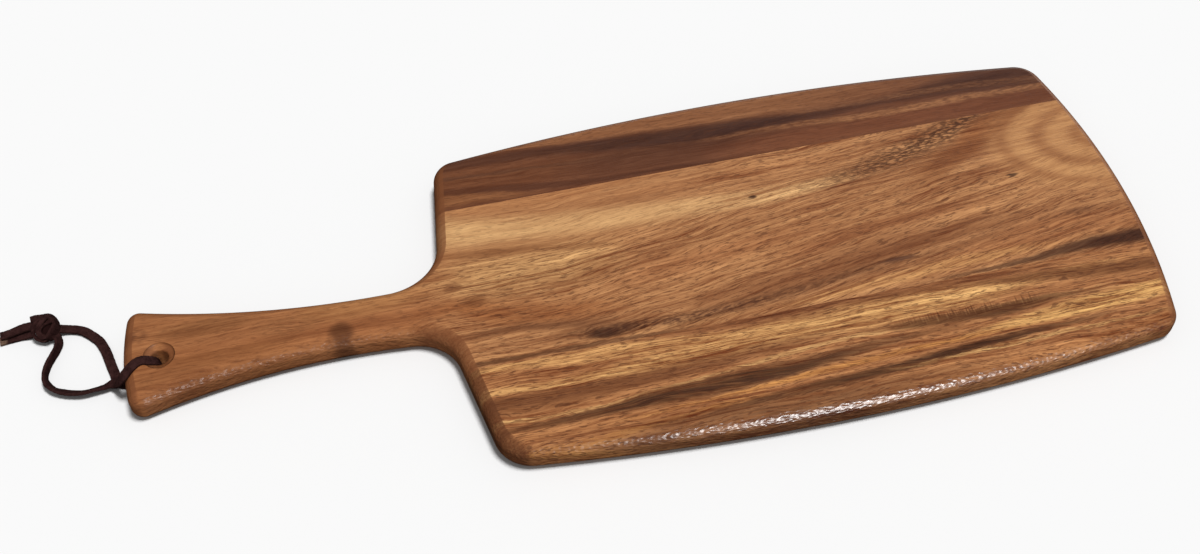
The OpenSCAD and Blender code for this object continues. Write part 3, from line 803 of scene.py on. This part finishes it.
turn("knot_turn_left", [(1.4, 6.0, 0.6), (-1.0, 4.8, 1.0), (-3.0, 2.2, 1.2), (-3.8, -1.0, 1.1), (-3.0, -3.8, 1.0), (-0.8, -5.6, 0.8),
                        (1.8, -6.0, 0.6)], 1.3, 12, 0.8)
turn("knot_turn_inner", [(2.6, 3.4, 0.4), (0.2, 1.6, 0.7), (-0.8, -0.8, 0.7), (-0.2, -2.8, 0.5), (1.4, -4.2, 0.2)], 1.5, 13)
turn("knot_turn_right", [(-1.6, 6.4, 0.9), (1.4, 6.2, 1.3), (3.8, 4.4, 1.4), (4.6, 1.6, 1.3), (4.2, -1.4, 1.1), (2.8, -4.0, 0.7)], 2.5, 14, 0.8)
turn("knot_turn_cross", [(1.6, 5.4, 1.8), (0.6, 3.2, 1.6), (-0.6, 1.0, 1.2), (-2.0, -1.0, 0.5)], 1.2, 15)
# the corner of a fold that stands out at the upper left
flap_route = []
for u, v, d in ((0.4, 5.6, 2.4), (-2.0, 5.4, 2.8), (-4.2, 5.0, 2.6), (-6.0, 4.4, 2.0)):
    flap_route.append((MIDDLE + right * u - down * v + TOWARDS * d + Vector((HALF, 0, 0)), -down + right * 0.2))
flap, _ = ribbon("knot_flap", flap_route, lace_mat, w=1.5, t=0.6, e=0.3, seed=11)
knot_parts.append(flap)
# the knot's body, in the painted-shade material, so that the gaps between the turns look like deep creases
core = put("knot_core", [(0, 0, 0)], [], knot_shade_mat)
cb = bmesh.new()
bmesh.ops.create_icosphere(cb, subdivisions=4, radius=1.0)
for v in cb.verts:
    q = Vector([a * b for a, b in zip(v.co, BODY)])
    v.co = (MIDDLE + q * (0.98 + 0.05 * noise.noise(q * 0.7))) / 1000
for f in cb.faces:
    f.smooth = True
cb.to_mesh(core.data)
cb.free()
knot_parts.append(core)

knot_parts + [tail_long, tail_short]
for ob, nodes in ((lace_over, ["lace_over"]), (lace_under, ["lace_under"]), (tail_long, ["lace_tail_long"]),
                  (tail_short, ["lace_tail_short"]), (core, ["lace_knot"])):
    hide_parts(*nodes)
for ob in [lace_over, lace_under, tail_long, tail_short] + knot_parts:
    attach(ob, "root")

# ---------------------------------------------------------------- floor and light
floor_mat, _, fb = material("floor", 0.9, 0.0)
fb.inputs["Base Color"].default_value = (0.8, 0.8, 0.8, 1)
floor = put("floor", [(-3000, -3000, -0.05), (3000, -3000, -0.05), (3000, 3000, -0.05), (-3000, 3000, -0.05)], [(0, 1, 2, 3)], floor_mat)
floor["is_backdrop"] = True
floor.visible_diffuse = False   # its white would flood the sides of the board
floor.visible_glossy = False

world = bpy.data.worlds.new("world")
bpy.context.scene.world = world
world.use_nodes = True
world.node_tree.nodes["Background"].inputs[0].default_value = (1, 1, 1, 1)
WORLD = 0.24
world.node_tree.nodes["Background"].inputs[1].default_value = WORLD
world.cycles_visibility.glossy = False


def area(name, at, aim, size, power, color=(1, 1, 1)):
    d = bpy.data.lights.new(name, "AREA")
    d.shape, d.size, d.size_y = "RECTANGLE", size[0], size[1]
    d.energy, d.color = power, color
    ob = bpy.data.objects.new(name, d)
    ob.location = at
    ob.rotation_mode = "QUATERNION"
    ob.rotation_quaternion = (Vector(aim) - Vector(at)).to_track_quat("-Z", "Y")
    bpy.context.scene.collection.objects.link(ob)
    return ob


def only_for(light, name, objs):
    c = bpy.data.collections.new(name)
    for o in objs:
        c.objects.link(o)
    light.light_linking.receiver_collection = c


board = [far_stave, middle_stave, near_stave, lace_over, lace_under, tail_long, tail_short] + knot_parts
# straight down on the floor, so that the board's shadow stays close to it
down_light = bpy.data.objects.new("floor_light", bpy.data.lights.new("floor_light", "SUN"))
down_light.data.angle = math.radians(16)
down_light.rotation_euler = (0, math.radians(12), 0)
bpy.context.scene.collection.objects.link(down_light)
only_for(down_light, "floor_only", [floor])
key = area("key", (0.0, -1.3, 3.6), (0, 0, 0), (1.5, 1.5), 0)
only_for(key, "board_only_key", board)
key.visible_glossy = False     # or it draws a wide gray stripe along the near edge
soft = area("softbox", (0.35, -1.1, 0.07), (0.09, -0.1, 0), (0.26, 0.12), 0)
soft.visible_diffuse = False   # a sheen along the near edge only
sheen = area("sheen", (0.3, -1.1, 0.14), (-0.2, 0, 0), (0.5, 0.24), 0)
sheen.visible_diffuse = False
only_for(sheen, "handle_only", [middle_stave])
only_for(soft, "near_edge_only", [near_stave])
rim = area("rim", (0.8, 1.25, 0.35), (0.15, 0, 0), (1.6, 0.5), 0)
rim.visible_diffuse = False    # the white wall behind, on the edges that face away
only_for(rim, "rim_only", board)


def power_for(light, value, at=(0, 0, 0)):
    """Power that adds this much to the brightness of a white level surface at a point."""
    d = Vector(at) - light.location
    n = light.rotation_quaternion @ Vector((0, 0, -1))
    cos_l, cos_s = n.dot(d.normalized()), -d.normalized().z
    # radiance of the surface is E/pi, with E = power/pi * cos_l * cos_s / d^2
    light.data.energy = value * math.pi * math.pi * d.length ** 2 / (cos_l * cos_s)


down_light.data.energy = (1.195 - WORLD) * math.pi / math.cos(math.radians(12))
power_for(key, 0.88)
power_for(soft, 0.06)
power_for(sheen, 0.045)
power_for(rim, 0.04)

sc = bpy.context.scene
sc.view_settings.view_transform = "Standard"
sc.view_settings.look = "None"
sc.view_settings.exposure = 0
sc.view_settings.gamma = 1

lo1, hi1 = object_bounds()
({"cad": [list(lo0), list(hi0)], "visual": [list(lo1), list(hi1)],
           "lace_over": length(over_path), "lace_under": length(under_path)})
